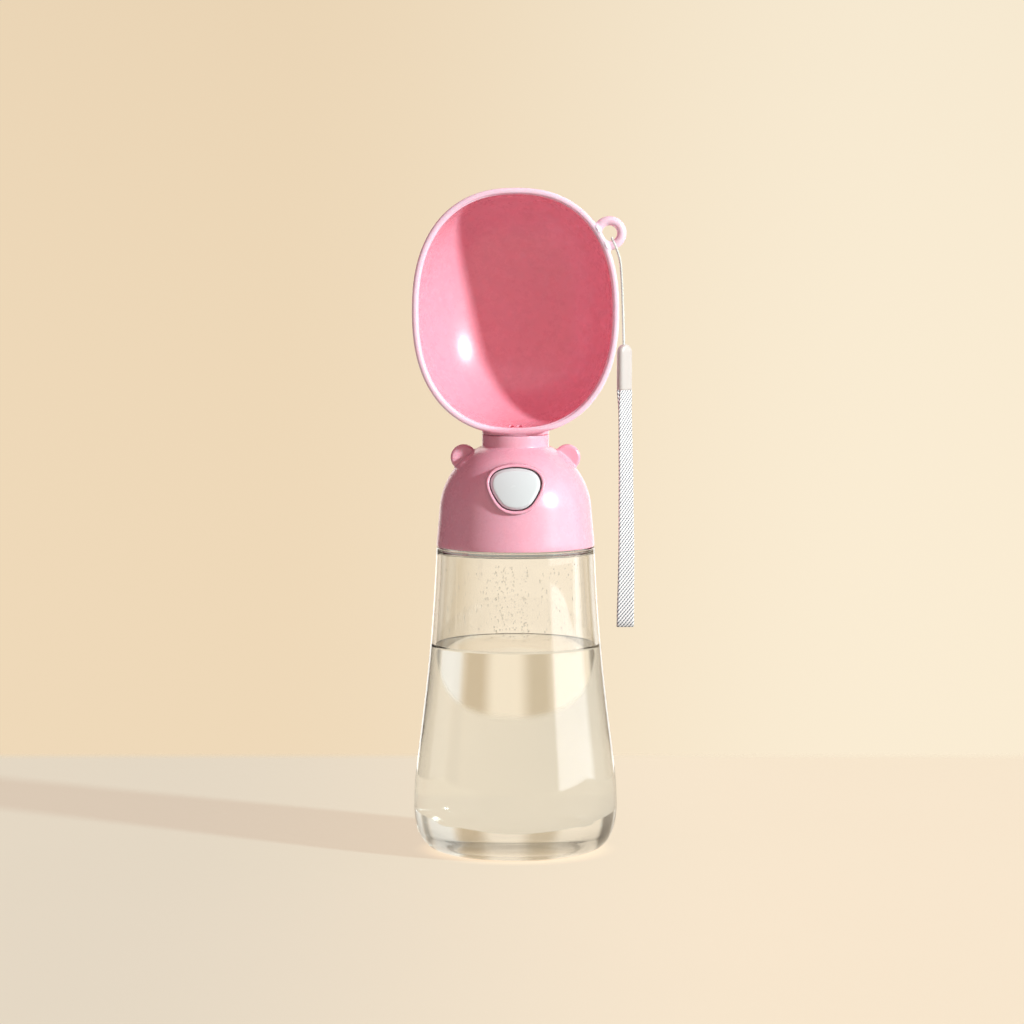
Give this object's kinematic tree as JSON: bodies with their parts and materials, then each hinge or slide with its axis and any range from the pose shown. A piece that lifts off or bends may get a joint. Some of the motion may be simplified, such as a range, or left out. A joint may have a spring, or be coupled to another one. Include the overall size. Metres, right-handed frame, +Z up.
{
  "type": "pet travel water bottle",
  "caption": "Clear screw-top travel water bottle for dogs with a bear-shaped valve head, a nose push button, an upright drinking scoop and a wrist lanyard.",
  "frame": {"origin": "middle of the flat foot that the bottle stands on", "axes": "+Z up along the bottle's axis, -Y towards the scoop's open side and the nose button, +X towards the lanyard"},
  "size_m": [0.0878, 0.0812, 0.2641],
  "materials": {
    "clear_bottle": "clear gloss",
    "pink_shell": "satin gloss",
    "nose_white": "gloss",
    "white_plastic": "moulded",
    "silicone": "translucent silicone",
    "black_rubber": "matte",
    "steel": "plain",
    "lanyard_cord": "twisted",
    "ferrule_plastic": "satin",
    "lanyard_webbing": "woven"
  },
  "bodies": {
    "bottle": {"bottle": "clear_bottle"},
    "seal": {"mouth_gasket": "silicone"},
    "head": {"head_shell": "pink_shell", "cap_insert": "white_plastic", "valve_body": "white_plastic", "valve_gasket": "silicone", "valve_screws": "steel", "vent_valve": "silicone", "end_plug": "white_plastic", "end_plug_o_ring": "black_rubber", "stem_bush": "white_plastic", "outlet_o_ring": "silicone", "return_spring": "steel"},
    "button": {"nose_button": "nose_white", "valve_stem": "white_plastic", "stem_o_rings": "black_rubber"},
    "scoop": {"scoop": "pink_shell", "swivel_o_ring": "silicone", "retaining_ring": "steel"},
    "lanyard": {"lanyard_string": "lanyard_cord", "lanyard_ferrule": "ferrule_plastic", "wrist_strap": "lanyard_webbing"}
  },
  "joints": [
    {"name": "head_lift", "type": "slide", "parent": "bottle", "child": "seal", "axis": [0, 0, 1], "range_m": [0, 0.014]},
    {"name": "head_turn", "type": "hinge", "parent": "seal", "child": "head", "pos_m": [0, 0, 0.122], "axis": [0, 0, 1], "range_deg": [0, 1260]},
    {"name": "button_press", "type": "slide", "parent": "head", "child": "button", "axis": [0, 1, 0], "range_m": [0, 0.0035], "stiffness_N_per_m": 400, "springref_m": -0.001, "deforming": ["return_spring"]},
    {"name": "scoop_swivel", "type": "hinge", "parent": "head", "child": "scoop", "pos_m": [0, 0, 0.1665], "axis": [0, 0, 1], "continuous": true},
    {"name": "lanyard_swing", "type": "hinge", "parent": "scoop", "child": "lanyard", "pos_m": [0.0369, -0.0115, 0.2463], "axis": [0, -1, 0], "range_deg": [0, 80]}
  ],
  "couplings": [
    {"joint": "head_turn", "follows": "head_lift", "rad_per_m": 1570.8}
  ]
}
